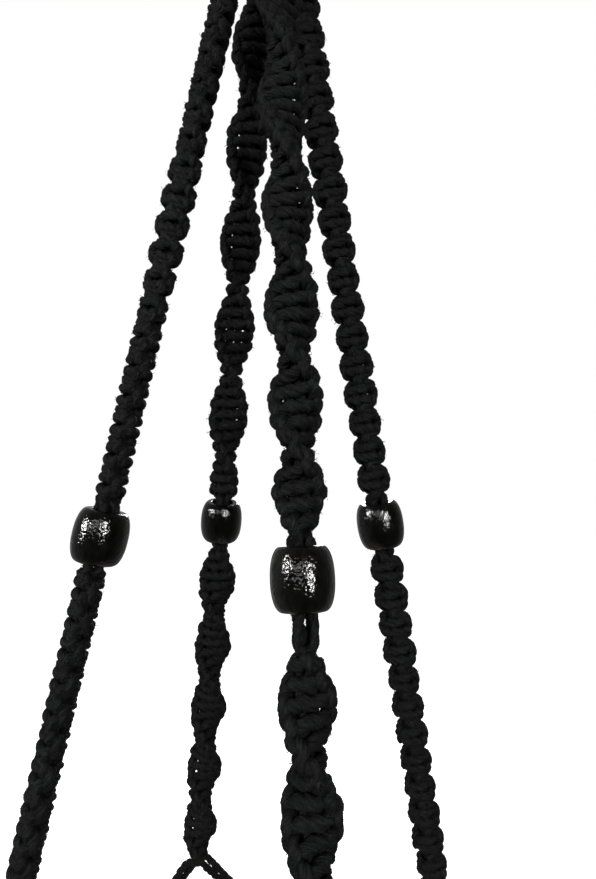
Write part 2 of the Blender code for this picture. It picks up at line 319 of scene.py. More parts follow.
def add_mesh(name, points, faces, material, strand=None):
    mesh = bpy.data.meshes.new(name)
    mesh.from_pydata(points.tolist(), [], faces)
    if strand is not None:
        layer = mesh.attributes.new("strand", "FLOAT_VECTOR", "POINT")
        layer.data.foreach_set("vector", strand.astype(np.float32).ravel())
    mesh.shade_smooth()
    mesh.materials.append(material)
    piece = bpy.data.objects.new(name, mesh)
    bpy.context.scene.collection.objects.link(piece)
    return piece


def ring_quads(rings, count, closed=False):
    """Faces between neighbouring rings of points, and from the last ring to the first if closed."""
    i, j = np.meshgrid(np.arange(rings if closed else rings - 1), np.arange(count), indexing="ij")
    nxt, low = (j + 1) % count, (i + 1) % rings
    quads = np.stack((i * count + j, i * count + nxt, low * count + nxt, low * count + j), axis=-1)
    return quads.reshape(-1, 4).tolist()


def tube_faces(rings, count):
    """Faces of a tube of rings of points, with a flat face at each end."""
    faces = ring_quads(rings, count)
    faces.append(list(range(count))[::-1])
    faces.append([(rings - 1) * count + k for k in range(count)])
    return faces


def hairs(roots, normals, along, reach, rise):
    """Fine tapered fibres: each a closed three-sided spike that leaves a cord and bends along it."""
    count = len(roots)
    way = rng.normal(size=(count, 3))
    way = along * rng.choice((-1, 1), (count, 1)) * HAIR_ALONG + way
    way -= normals * np.sum(way * normals, axis=1)[:, None]
    way /= np.linalg.norm(way, axis=1)[:, None]
    across = np.cross(normals, way)
    long = reach * (0.25 + rng.random((count, 1)) ** 2.2)
    thick = HAIR_THINNEST + HAIR_SPREAD * rng.random((count, 1)) ** 2
    lift = rise * rng.random((count, 1)) + 0.15
    middle = roots + long * 0.5 * (way * np.cos(lift) + normals * np.sin(lift))
    lower = lift * 0.2 - 0.1
    curl = across * rng.normal(0, HAIR_CURL, (count, 1))
    tip = middle + long * 0.5 * (way * np.cos(lower) + normals * np.sin(lower) + curl)
    corners = []
    for place, size in ((roots - normals * HAIR_ROOT_DEPTH, thick), (middle, thick * 0.8)):
        for turn in (0, 2 * math.pi / 3, 4 * math.pi / 3):
            corners.append(place + size * (across * math.cos(turn) + normals * math.sin(turn)))
    corners.append(tip)
    points = np.stack(corners, axis=1).reshape(-1, 3)
    first = (np.arange(count) * HAIR_POINTS)[:, None]
    root_face, tip_faces = (2, 1, 0), ((3, 4, 6), (4, 5, 6), (5, 3, 6))
    side_faces = ((0, 1, 4, 3), (1, 2, 5, 4), (2, 0, 3, 5))
    faces = []
    for pattern in (root_face, *tip_faces, *side_faces):
        faces += (first + np.array(pattern)[None]).tolist()
    return points, faces


def add_strand(name, route, material, hair_reach=HAIR_REACH, frayed=0):
    """A three-ply twisted cord along (place, radius) points, with loose fibres on it and, if it is
    frayed, at its end."""
    places, radii, length = smooth_path(route, STRAND_STEP)
    along, sides = carried_frames(places)
    ups = np.cross(along, sides)
    base = np.arange(SECTION_POINTS) * math.tau / SECTION_POINTS
    groove = 1 - PLY_GROOVE * (1 - np.abs(np.sin(base * PLIES / 2)) ** 0.8)
    phase = rng.random(4) * math.tau
    lumps = 1
    for (size, pace), start in zip(LUMPS, phase):
        lumps = lumps + size * np.sin(length * pace + start)
    angle = base[None] + (length * math.tau / LAY)[:, None] + phase[2]
    reach = (radii * lumps)[:, None] * groove[None]
    ring = np.cos(angle)[..., None] * sides[:, None] + np.sin(angle)[..., None] * ups[:, None]
    points = places[:, None] + ring * reach[..., None]
    strand = np.empty(points.shape)
    strand[..., 0] = np.cos(base) * CORD_RADIUS
    strand[..., 1] = np.sin(base) * CORD_RADIUS
    strand[..., 2] = length[:, None] + phase[3]
    faces = tube_faces(len(places), SECTION_POINTS)
    count = round(HAIRS_PER_METRE * length[-1])
    i = rng.integers(3, len(places) - 3, count)
    j = rng.integers(0, SECTION_POINTS, count)
    tufts = [(hairs(points[i, j], ring[i, j], along[i], hair_reach, HAIR_RISE), strand[i, j])]
    if frayed:
        k = rng.integers(0, SECTION_POINTS, frayed)
        inward = np.sqrt(rng.random((frayed, 1)))
        roots = mix(places[-1], points[-1, k], inward)
        end_way = np.repeat(along[-1:], frayed, axis=0)
        tufts.append((hairs(roots, end_way, ring[-1, k], FRAY_REACH, FRAY_RISE), strand[-1, k]))
    shapes, tags = [points.reshape(-1, 3)], [strand.reshape(-1, 3)]
    start = len(shapes[0])
    for (more, more_faces), more_tags in tufts:
        faces += [[start + corner for corner in face] for face in more_faces]
        start += len(more)
        shapes.append(more)
        tags.append(np.repeat(more_tags, HAIR_POINTS, axis=0))
    return add_mesh(name, np.vstack(shapes), faces, material, np.vstack(tags))


def turned(name, profile, count, material, place=None, axis=None):
    """A closed (radius, height) outline turned about an axis."""
    angles = np.arange(count) * math.tau / count
    profile = np.asarray(profile, float)
    x = profile[:, 0, None] * np.cos(angles)[None]
    y = profile[:, 0, None] * np.sin(angles)[None]
    z = np.repeat(profile[:, 1, None], count, axis=1)
    points = np.stack((x, y, z), axis=-1).reshape(-1, 3)
    if axis is not None:
        side = unit(np.cross(axis, (0.2, 1, 0.1)))
        points = points @ np.stack((side, np.cross(axis, side), axis)) + place
    return add_mesh(name, points, ring_quads(len(profile), count, closed=True), material)


def rounded(corners, steps):
    """A closed outline whose (radius, height, rounding) corners are made into arcs."""
    outline = []
    count = len(corners)
    for i in range(count):
        here = np.array(corners[i][:2])
        size = corners[i][2]
        before, after = np.array(corners[i - 1][:2]), np.array(corners[(i + 1) % count][:2])
        enter, leave = here + unit(before - here) * size, here + unit(after - here) * size
        for k in range(steps + 1):
            t = k / steps
            outline.append((1 - t) ** 2 * enter + 2 * t * (1 - t) * here + t**2 * leave)
    return outline


# ---- materials

class Finish:
    """A Principled material and short ways to feed it."""

    def __init__(self, name, colour, roughness, **sockets):
        self.material = bpy.data.materials.new(name)
        self.material.use_nodes = True
        self.nodes = self.material.node_tree.nodes
        self.links = self.material.node_tree.links
        self.shader = self.nodes["Principled BSDF"]
        self.shader.inputs["Base Color"].default_value = (*colour, 1)
        self.shader.inputs["Roughness"].default_value = roughness
        for socket, value in sockets.items():
            self.shader.inputs[socket.replace("_", " ")].default_value = value

    def join(self, source, target):
        self.links.new(source, target)

    def coordinates(self, scale, attribute=None):
        """Object coordinates, or a mesh attribute's, stretched by a scale on each axis."""
        if attribute:
            source = self.nodes.new("ShaderNodeAttribute")
            source.attribute_name = attribute
            vector = source.outputs["Vector"]
        else:
            vector = self.nodes.new("ShaderNodeTexCoord").outputs["Object"]
        stretch = self.nodes.new("ShaderNodeVectorMath")
        stretch.operation = "MULTIPLY"
        stretch.inputs[1].default_value = scale
        self.join(vector, stretch.inputs[0])
        return stretch.outputs[0]

    def noise(self, vector, scale, detail=2.0):
        texture = self.nodes.new("ShaderNodeTexNoise")
        texture.inputs["Scale"].default_value = scale
        texture.inputs["Detail"].default_value = detail
        self.join(vector, texture.inputs["Vector"])
        return texture.outputs["Fac"]

    def ramp(self, source, *stops):
        """Colours or grey levels by (position, value) stops."""
        ramp = self.nodes.new("ShaderNodeValToRGB")
        for i, (position, value) in enumerate(stops):
            if i < 2:
                stop = ramp.color_ramp.elements[i]
                stop.position = position
            else:
                stop = ramp.color_ramp.elements.new(position)
            stop.color = (*value, 1) if isinstance(value, tuple) else (value, value, value, 1)
        self.join(source, ramp.inputs[0])
        return ramp.outputs["Color"]

    def blend(self, amount, first, second, mode="MIX"):
        node = self.nodes.new("ShaderNodeMix")
        node.data_type = "RGBA"
        node.blend_type = mode
        sockets = (node.inputs[0], node.inputs[6], node.inputs[7])
        for source, socket in zip((amount, first, second), sockets):
            if isinstance(source, (int, float)):
                socket.default_value = source
            elif isinstance(source, tuple):
                socket.default_value = (*source, 1)
            else:
                self.join(source, socket)
        return node.outputs[2]

    def bumps(self, *layers):
        """Bump from (height, distance, strength) layers, one on another."""
        normal = None
        for height, distance, strength in layers:
            bump = self.nodes.new("ShaderNodeBump")
            bump.inputs["Distance"].default_value = distance
            bump.inputs["Strength"].default_value = strength
            self.join(height, bump.inputs["Height"])
            if normal is not None:
                self.join(normal, bump.inputs["Normal"])
            normal = bump.outputs["Normal"]
        self.join(normal, self.shader.inputs["Normal"])

    def feed(self, socket, source):
        self.join(source, self.shader.inputs[socket])


def cord_finish():
    """Black cotton: matt, with yarns and fibres along its plies, faded patches and specks of lint."""
    finish = Finish("black_cotton", (0.0036, 0.004, 0.004), 0.75, Specular_IOR_Level=0.1)
    fibres = finish.noise(finish.coordinates((1, 1, 0.14), "strand"), 2600, 3)
    yarns = finish.noise(finish.coordinates((1, 1, 0.35), "strand"), 1100, 2)
    patches = finish.noise(finish.coordinates((1, 1, 1)), 90, 3)
    specks = finish.noise(finish.coordinates((1, 1, 1)), 1300, 1)
    colour = finish.ramp(fibres, (0.30, (0.0008, 0.0011, 0.0009)), (0.72, (0.0037, 0.0047, 0.0042)))
    worn = finish.ramp(yarns, (0.32, 0.18), (0.50, 0.8), (0.70, 2.5))
    colour = finish.blend(1.0, colour, worn, "MULTIPLY")
    faded = finish.ramp(patches, (0.42, 0.75), (0.68, 1.35))
    colour = finish.blend(1.0, colour, faded, "MULTIPLY")
    lint = finish.ramp(specks, (0.72, 0.0), (0.78, 0.7))
    colour = finish.blend(lint, colour, (0.045, 0.045, 0.042))
    finish.feed("Base Color", colour)
    finish.feed("Roughness", finish.ramp(fibres, (0.3, 0.85), (0.75, 0.58)))
    finish.bumps((yarns, 0.0014, 1.0), (fibres, 0.0005, 1.0))
    return finish.material


def lacquer_finish():
    """Black lacquer on turned wood: glossy, with a pebbled skin that breaks up its highlights."""
    finish = Finish("black_lacquer", (0.005, 0.0045, 0.004), 0.09, Specular_IOR_Level=0.32)
    grain = finish.noise(finish.coordinates((1, 1, 0.55)), 420, 4)
    peel = finish.noise(finish.coordinates((1, 1, 1)), 1000, 2)
    colour = finish.ramp(grain, (0.35, (0.0012, 0.0012, 0.0011)), (0.75, (0.0048, 0.0046, 0.0040)))
    finish.feed("Base Color", colour)
    finish.feed("Roughness", finish.ramp(peel, (0.35, 0.06), (0.70, 0.13)))
    finish.bumps((grain, 0.0005, 0.30), (peel, 0.0005, 0.45))
    return finish.material


def steel_finish():
    """Plain bright steel bar with fine drawn lines and dulled patches."""
    finish = Finish("drawn_steel", (0.42, 0.42, 0.43), 0.18, Metallic=1.0)
    lines = finish.noise(finish.coordinates((0.15, 1, 0.15)), 2400, 3)
    dull = finish.noise(finish.coordinates((1, 1, 1)), 160, 3)
    colour = finish.ramp(dull, (0.35, (0.30, 0.30, 0.31)), (0.65, (0.46, 0.46, 0.46)))
    finish.feed("Base Color", colour)
    finish.feed("Roughness", finish.ramp(lines, (0.3, 0.12), (0.7, 0.26)))
    finish.bumps((lines, 0.00005, 0.35))
    return finish.material


def glaze_finish():
    """Off-white satin glaze on thrown clay: soft mottling, iron specks and a faint wave."""
    finish = Finish("off_white_glaze", (0.72, 0.69, 0.62), 0.24, Coat_Weight=0.25, Coat_Roughness=0.12)
    mottle = finish.noise(finish.coordinates((1, 1, 0.6)), 45, 5)
    specks = finish.noise(finish.coordinates((1, 1, 1)), 520, 2)
    wave = finish.noise(finish.coordinates((0.25, 0.25, 1)), 120, 2)
    colour = finish.ramp(mottle, (0.30, (0.60, 0.56, 0.48)), (0.66, (0.78, 0.75, 0.68)))
    iron = finish.ramp(specks, (0.70, 0.0), (0.75, 0.85))
    finish.feed("Base Color", finish.blend(iron, colour, (0.22, 0.15, 0.10)))
    finish.feed("Roughness", finish.ramp(mottle, (0.3, 0.36), (0.7, 0.20)))
    finish.bumps((wave, 0.0012, 0.25), (mottle, 0.0004, 0.2))
    return finish.material


COTTON = cord_finish()
LACQUER = lacquer_finish()
STEEL = steel_finish()
GLAZE = glaze_finish()


# ---- camera

CAMERA_AZIMUTH = math.radians(-15.4)
CAMERA_DISTANCE = 0.231
CAMERA_Z = -0.3307
CAMERA_YAW = math.radians(4.3)
CAMERA_ROLL = math.radians(1.45)
CAMERA_LENS = 23.55


def make_camera():
    """Level, close to the hanger, turned a little to its right and tilted a little to the side."""
    camera = bpy.data.objects.new("camera", bpy.data.cameras.new("camera"))
    bpy.context.scene.collection.objects.link(camera)
    camera.data.lens = CAMERA_LENS
    camera.data.sensor_width = 36
    camera.data.clip_start = 0.01
    back = at(math.sin(CAMERA_AZIMUTH), -math.cos(CAMERA_AZIMUTH), 0)
    heading = math.atan2(-back[1], -back[0]) - CAMERA_YAW
    forward = at(math.cos(heading), math.sin(heading), 0)
    right = np.cross(forward, UP)
    tilted_right = right * math.cos(CAMERA_ROLL) + UP * math.sin(CAMERA_ROLL)
    tilted_up = UP * math.cos(CAMERA_ROLL) - right * math.sin(CAMERA_ROLL)
    matrix = np.eye(4)
    matrix[:3, 0], matrix[:3, 1], matrix[:3, 2] = tilted_right, tilted_up, -forward
    matrix[:3, 3] = back * CAMERA_DISTANCE + UP * CAMERA_Z
    camera.matrix_world = Matrix(matrix.tolist())
    bpy.context.scene.camera = camera


make_camera()


# ---- the tassel's free cords

# The tassel's cords bend between these two heights, and begin a tuck above; then how ragged their ends
# are, how unevenly they lean and sway, and in how many steps
TASSEL_PIVOT_Z = -0.8443
TASSEL_TUCK = 0.004
TASSEL_END_RAGGED = 0.007
TASSEL_LEAN = 0.001
TASSEL_SWAY = 0.0011
TASSEL_BENDS = 6
TASSEL_PATH_STEP = 0.004


def make_tassel():
    """Sixteen cut ends, which hang from inside the bottom wrapping and spread a little."""
    start_z = TASSEL_PIVOT_Z + TASSEL_TUCK
    number = 0
    for degrees in CORNERS.values():
        for spot in bundle_spots(degrees):
            number += 1
            end_z = TASSEL_END_Z + 0.001 + TASSEL_END_RAGGED * rng.random()
            way = unit(spot + rng.normal(0, TASSEL_LEAN, 3) * (1, 1, 0))
            size = np.linalg.norm(spot)
            spread = size * (TASSEL_RADIUS - CORD_RADIUS) / BUNDLE_OUTER
            sway = rng.normal(0, TASSEL_SWAY, (TASSEL_BENDS, 3)) * (1, 1, 0)
            mouth = spot + UP * (TASSEL_PIVOT_Z - 0.001)
            route = [(spot + UP * start_z, CORD_RADIUS), (mouth, CORD_RADIUS)]
            for k in range(1, TASSEL_BENDS + 1):
                t = k / TASSEL_BENDS
                out = way * mix(size, spread, ease(t * 0.9))
                place = out + sway[k - 1] * t + UP * mix(TASSEL_PIVOT_Z, end_z, t)
                route.append((place, CORD_RADIUS))
            name = f"tassel_cord_{number:02d}"
            cord = add_strand(name, route, COTTON, hair_reach=TASSEL_HAIR_REACH, frayed=FRAY_HAIRS)
            places, _, length = smooth_path(route, TASSEL_PATH_STEP)
            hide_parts("tassel")
            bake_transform(cord)


make_tassel()


# ---- knots

def crossing(edge, edge_depth):
    """(across, through, down) shares of one crossing, from left to right in front of the core."""
    points = [(-edge, edge_depth, 0.0), *HALF_CROSSING, (0.0, 1.0, 0.5)]
    points += [(-u, v, 1 - s) for u, v, s in reversed(HALF_CROSSING)]
    return points


def worker_radius(across):
    """A working cord bulges where it lies across the core and is pinched where it hooks."""
    return mix(BAR_RADIUS, EDGE_RADIUS, ease(abs(across) * PINCH))


def spiral_knots(top_z, bottom_z):
    """Half knots all tied the same way: each working cord goes round and round the core."""
    count = round((top_z - bottom_z) / SPIRAL_PITCH)
    pitch = (top_z - bottom_z) / count
    workers = [[], []]
    for k in range(count):
        edge_z = top_z - k * pitch
        from_end = min(k, count - 1 - k)
        drawn_in = min(1, SPIRAL_END_SIZE + SPIRAL_END_STEP * from_end)
        swell = (1 + rng.normal(0, SPIRAL_UNEVENNESS)) * drawn_in
        for j in (0, 1):
            side = 1 if (k + j) % 2 == 0 else -1
            for u, v, s in crossing(SPIRAL_START if k == 0 else 1.0, 0.0):
                across = u * side * SPIRAL_REACH * swell
                through = v * side * SPIRAL_DEPTH
                workers[j].append((across, through, edge_z - s * pitch, worker_radius(u)))
    last = 1 if count % 2 == 0 else -1
    for j in (0, 1):
        side = last if j == 0 else -last
        workers[j].append((-side * SPIRAL_REACH * SPIRAL_LEAVE, 0.0, bottom_z, EDGE_RADIUS))
    return workers


def square_knots(style, top_z, bottom_z):
    """Half knots tied left over right, then right over left: one cord stays in front, one behind."""
    count = max(1, round((top_z - bottom_z) / style["pitch"]))
    pitch = (top_z - bottom_z) / count
    bars, reach, depth = style["bars"], style["reach"], style["depth"]
    workers = [[], []]
    for k in range(count):
        waist_z = top_z - k * pitch
        middle = waist_z - pitch / 2
        upper = (waist_z, *(middle + bars * rise for rise in BAR_RISES), middle)
        lower = (middle, *(middle - bars * rise for rise in BAR_RISES[::-1]), waist_z - pitch)
        swell = 1 + rng.normal(0, SQUARE_UNEVENNESS)
        for half, levels in ((0, upper), (1, lower)):
            for j, face in ((0, 1), (1, -1)):
                side = face if half == 0 else -face
                waist = WAIST_BACK if face == 1 else WAIST_FRONT
                edge = (waist[0], -waist[1]) if half == 0 else (1.0, -LOOP_SIDE)
                for u, v, s in crossing(*edge):
                    z = float(np.interp(s, BAR_STEPS, levels))
                    rise = (z - middle) / (pitch * SQUARE_ROUNDNESS)
                    taper = math.sqrt(1 - rise**2) if s > 0 else 1
                    across = u * side * reach * swell * taper
                    radius = worker_radius(u) * SQUARE_SQUEEZE
                    workers[j].append((across, v * face * depth, z, radius))
    for j, face in ((0, 1), (1, -1)):
        waist = WAIST_BACK if face == 1 else WAIST_FRONT
        across, through = -waist[0] * face * reach, -waist[1] * face * depth
        workers[j].append((across, through, bottom_z, EDGE_RADIUS))
    return workers


def left_wander(z):
    """How far the left arm's flat face has turned at a height."""
    return LEFT_WANDER * math.exp(-(((z - LEFT_WANDER_Z) / LEFT_WANDER_SPAN) ** 2))


def placed(points, centre_at, side, face, axis, turn_at):
    """Local (across, through, z, radius) points turned about an arm's own line and put on it."""
    route = []
    for u, v, z, radius in points:
        turn = turn_at(z)
        across = side * math.cos(turn) + np.cross(axis, side) * math.sin(turn)
        through = face * math.cos(turn) + np.cross(axis, face) * math.sin(turn)
        route.append((centre_at(z) + across * u + through * v, radius))
    return route


def join(paths, stretches):
    """Continue four cords along four stretches, each cord along the one that begins nearest its end."""
    ends = np.array([path[-1][0] for path in paths])
    starts = np.array([stretch[0][0] for stretch in stretches])
    gap = np.linalg.norm(ends[:, None] - starts[None], axis=2) ** 2
    orders = itertools.permutations(range(4))
    best = min(orders, key=lambda order: sum(gap[i, order[i]] for i in range(4)))
    for path, k in zip(paths, best):
        path.extend(stretches[k])


def core_points(core, top_z, bottom_z, side):
    """A core cord's straight run on one side of the middle."""
    count = max(2, round((top_z - bottom_z) / CORE_STEP))
    levels = [mix(top_z, bottom_z, i / count) for i in range(count + 1)]
    return [(side * core["offset"], 0.0, z, core["radius"]) for z in levels]


def arm_knots(arm, part, top_z, bottom_z):
    """The four cords of one knotted stretch of an arm: two workers, two cores."""
    degrees = ARMS[arm]
    section = f"{arm}_{part}"
    if section in SPIRALS:
        workers, core = spiral_knots(top_z, bottom_z), SPIRAL_CORE
    else:
        workers, core = square_knots(SQUARE[arm], top_z, bottom_z), SQUARE_CORE
    cores = [core_points(core, top_z, bottom_z, side) for side in (-1, 1)]

    def turn_at(z):
        if section in SPIRALS:
            return spiral_turn(section, z)
        return SQUARE[arm]["turn"] + (left_wander(z) if arm == "left" else 0.0)

    def centre_at(z):
        return arm_point(degrees, z)

    frame_of = (around(degrees), arm_face(degrees), arm_direction(degrees))
    return [placed(points, centre_at, *frame_of, turn_at) for points in workers + cores]


def clover(degrees, z, spread):
    """Four cords two by two at a height on an arm."""
    offset = CORD * spread
    middle, across, through = arm_point(degrees, z), around(degrees), arm_face(degrees)
    signs = ((-1, 1), (1, 1), (1, -1), (-1, -1))
    return [middle + across * (u * offset) + through * (v * offset) for u, v in signs]


def bead_run(arm):
    """The four bare cords through a bead."""
    degrees = ARMS[arm]
    levels = [bead_end_z(arm, 1) + SLIDE_ROOM, BEAD_Z + BEAD_OFFSET[arm], bead_end_z(arm, -1)]
    if arm != "front":
        levels.append(levels[-1] - SLIDE_ROOM)
    corners = [clover(degrees, z, BEAD_SPREAD) for z in levels]
    return [[(level[i], BEAD_CORD_RADIUS) for level in corners] for i in range(4)]


# How each of the four bare cords lies at four depths below the front bead: (across, through)
LOOSE_DEPTHS = (0.0024, 0.0055, 0.0085, 0.0098)
LOOSE_CORDS = (
    ((-0.0021, 0.0014), (-0.0030, 0.0013), (-0.0031, 0.0012), (-0.0029, 0.0014)),
    ((-0.0018, -0.0018), (-0.0001, -0.0018), (0.0004, -0.0018), (-0.0002, -0.0022)),
    ((0.0027, 0.0012), (0.0027, 0.0014), (0.0024, 0.0018), (0.0020, 0.0022)),
    ((0.0024, -0.0018), (0.0027, -0.0016), (0.0028, -0.0016), (0.0027, -0.0018)),
)
LOOSE_RADIUS = 0.00152


def loose_run(arm):
    """Below the front bead the bare cords stand apart, with a gap between them, down to a knot."""
    degrees = ARMS[arm]
    runs = []
    for cord in LOOSE_CORDS:
        run = []
        for depth, (across, through) in zip(LOOSE_DEPTHS, cord):
            here = arm_point(degrees, bead_end_z(arm, -1) - depth)
            run.append((here + around(degrees) * across + arm_face(degrees) * through, LOOSE_RADIUS))
        runs.append(run)
    return runs


# A pair's clearance from the knots at its ends; in cords, how far its middle lies from the arm's or the
# knot's, and each cord of it from its middle; and the radius that they are squeezed to
PAIR_CLEARANCE = 0.0014
PAIR_STEP = 1.08
PAIR_OFFSET = 0.49
PAIR_CORD_RADIUS = CORD_RADIUS * 0.98


def pair_runs(degrees, turn_sign):
    """Two cords side by side, from an arm's foot over the pot's rim and down to a basket knot."""
    finish_z = BASKET_KNOT_Z + BASKET_KNOT_HEIGHT / 2 + PAIR_CLEARANCE
    begin_z = SPLIT_Z - PAIR_CLEARANCE
    side_step = math.degrees(CORD * PAIR_STEP / POT_RIM_RADIUS)
    contact = POT_RIM_RADIUS + POT_GAP + CORD_RADIUS
    taper = (POT_RIM_RADIUS - POT_BASE_RADIUS) / POT_HEIGHT
    heights = [mix(begin_z, POT_RIM_Z, i / 4) for i in range(5)]
    heights += [mix(POT_RIM_Z - 0.0025, finish_z, i / 5) for i in range(6)]
    centres, faces = [], []
    for z in heights:
        t = (begin_z - z) / (begin_z - finish_z)
        azimuth = degrees + turn_sign * mix(side_step, 45 - side_step, t)
        if z > POT_RIM_Z:
            radius = mix(arm_radius(begin_z), contact, (begin_z - z) / (begin_z - POT_RIM_Z))
        else:
            radius = pot_radius(z) + POT_GAP + CORD_RADIUS
        centres.append(outward(azimuth) * radius + UP * z)
        faces.append(outward(azimuth) + UP * (ARM_SLOPE if z > POT_RIM_Z else -taper))
    runs = [[], []]
    for i, centre in enumerate(centres):
        along = unit(centres[min(i + 1, len(centres) - 1)] - centres[max(i - 1, 0)])
        side = unit(np.cross(along, faces[i]))
        for run, offset in zip(runs, (1, -1)):
            run.append((centre + side * (offset * CORD * PAIR_OFFSET), PAIR_CORD_RADIUS))
    return runs


# From the pot's side to a basket knot's middle, past the gap
BASKET_KNOT_LIFT = 0.0052


def basket_knot(degrees):
    """Two square knots on the pot's side, which join two cords from each of two arms."""
    top_z = BASKET_KNOT_Z + BASKET_KNOT_HEIGHT / 2
    bottom_z = BASKET_KNOT_Z - BASKET_KNOT_HEIGHT / 2
    axis = unit(UP * POT_HEIGHT + outward(degrees) * (POT_RIM_RADIUS - POT_BASE_RADIUS))
    face = np.cross(around(degrees), axis)
    workers = square_knots(SQUARE["basket"], top_z, bottom_z)
    cores = [core_points(SQUARE_CORE, top_z, bottom_z, side) for side in (-1, 1)]

    def centre_at(z):
        return outward(degrees) * (pot_radius(z) + POT_GAP + BASKET_KNOT_LIFT) + UP * z

    frame_of = (around(degrees), face, axis)
    return [placed(points, centre_at, *frame_of, lambda z: 0.0) for points in workers + cores]


# A leg's cords: how far below the basket knot they start; how far each stands out from the pot there;
# how close together they are there; how far on they lie flat; their spacing in cords; how far in from
# the pot's edge they leave it; and the neck that they gather to, at these shares of the way
LEG_CLEARANCE = 0.004
LEG_START_LIFTS = (0.0, 0.0026, 0.0026, 0.0)
LEG_START_WIDTH = 0.62
LEG_FLAT_BELOW = 0.018
LEG_SPACING = 1.02
LEG_UNDERCUT = 0.006
LEG_GATHER = (0.3, 0.6, 0.85)
LEG_NECK_RADIUS = 0.0103
LEG_NECK_HEIGHT = 0.008
LEG_BUNDLE_MIDDLE = 0.0063
STRAND_END_INSET = 0.006


def leg_line(start_z):
    """(radius, height, how far its cords have gathered) along a leg, down the pot and in under it."""
    lift = POT_GAP + CORD_RADIUS
    base_z = POT_RIM_Z - POT_HEIGHT
    under = (POT_BASE_RADIUS - LEG_UNDERCUT, base_z - lift * 1.6)
    levels = (start_z, start_z - LEG_FLAT_BELOW, mix(start_z, base_z, 0.6), base_z + 0.004)
    line = [(pot_radius(z) + lift, z, 0.0) for z in levels]
    line.append((POT_BASE_RADIUS + lift * 0.3, base_z - lift * 0.95, 0.04))
    line.append((*under, 0.08))
    for t in LEG_GATHER:
        z = mix(under[1], BOTTOM_WRAP_Z + LEG_NECK_HEIGHT, t)
        line.append((mix(under[0], LEG_NECK_RADIUS, t), z, t))
    return line


def leg_runs(degrees):
    """Four cords side by side, down the pot, round its foot and in to the bottom wrapping."""
    start_z = BASKET_KNOT_Z - BASKET_KNOT_HEIGHT / 2 - LEG_CLEARANCE
    line = leg_line(start_z)
    out = outward(degrees)
    runs = []
    for i, spot in enumerate(bundle_spots(degrees)):
        flat = around(degrees) * ((i - 1.5) * CORD * LEG_SPACING)
        run = []
        for radius, z, gathered in line:
            loose = 1.0 if z == start_z else 0.0
            straight = out * (radius + LEG_START_LIFTS[i] * loose)
            straight = straight + flat * mix(1, LEG_START_WIDTH, loose)
            close = spot + out * (radius - LEG_BUNDLE_MIDDLE)
            run.append((mix(straight, close, ease(gathered)) + UP * z, CORD_RADIUS))
        run.append((spot + UP * BOTTOM_WRAP_Z, CORD_RADIUS))
        run.append((spot + UP * (BOTTOM_WRAP_Z - WRAP_HEIGHT + STRAND_END_INSET), CORD_RADIUS))
        runs.append(run)
    return runs


# How far inside the top wrapping the cords end, and how far above their parting an arm's knots end
TOP_TUCK = 0.014
SPLIT_CLEARANCE = 0.003


def arm_paths(arm):
    """An arm's four cords, from inside the top wrapping to where they part above the pot."""
    degrees = ARMS[arm]
    begin, leave = TOP_WRAP_Z - TOP_TUCK, TOP_WRAP_Z - WRAP_HEIGHT
    above, below = bead_end_z(arm, 1) + KNOT_GAP_ABOVE[arm], bead_end_z(arm, -1) - KNOT_GAP_BELOW[arm]
    paths = []
    for spot in bundle_spots(degrees):
        paths.append([(spot + UP * begin, CORD_RADIUS), (spot + UP * leave, CORD_RADIUS)])
    neck = clover(degrees, mix(leave, KNOTS_TOP_Z, NECK_SHARE), NECK_SPREAD)
    join(paths, [[(place, CORD_RADIUS)] for place in neck])
    join(paths, arm_knots(arm, "upper", KNOTS_TOP_Z, above))
    join(paths, bead_run(arm))
    if arm == "front":
        join(paths, loose_run(arm))
    join(paths, arm_knots(arm, "lower", below, SPLIT_Z + SPLIT_CLEARANCE))
    return paths


def turn_between(start, end):
    """The shorter turn from one angle to another, in degrees."""
    return (end - start + 180) % 360 - 180


def near_corners(arm):
    """The two corners that an arm's cords go to, with the way they turn."""
    found = []
    for corner, degrees in CORNERS.items():
        turn = turn_between(ARMS[arm], degrees)
        if abs(turn) == 45:
            found.append((corner, turn // 45))
    return sorted(found, key=lambda pair: pair[1])


def make_strands():
    """Sixteen strands, each one unbroken cord from the top wrapping to the bottom one."""
    at_corner = {corner: [] for corner in CORNERS}
    for arm in ARMS:
        paths = arm_paths(arm)
        corners = near_corners(arm)
        join(paths, [run for _, sign in corners for run in pair_runs(ARMS[arm], sign)])
        for number, path in enumerate(paths, 1):
            x, y, _ = path[-1][0]
            azimuth = math.degrees(math.atan2(y, x))
            nearest = min(corners, key=lambda pair: abs(turn_between(azimuth, CORNERS[pair[0]])))
            at_corner[nearest[0]].append((arm, number, path))
    for corner, degrees in CORNERS.items():
        paths = [path for *_, path in at_corner[corner]]
        join(paths, basket_knot(degrees))
        join(paths, leg_runs(degrees))
        for arm, number, path in at_corner[corner]:
            strand = add_strand(f"{arm}_strand_{number}", path, COTTON)
            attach(strand, "hanger")
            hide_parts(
                f"{arm}_upper_sennit", f"{arm}_bead_cords", f"{arm}_lower_sennit",
                f"{arm}_pair_to_{corner}", f"{corner}_basket_knot", f"{corner}_basket_leg",
                "bottom_cord_bundle", "top_cord_bundle",
            )


make_strands()


# ---- wrappings and the fold over the ring

WRAP_STEPS = 24
WRAP_TUCK_STEPS = 10
WRAP_CORD_RADIUS = CORD_RADIUS * 1.04


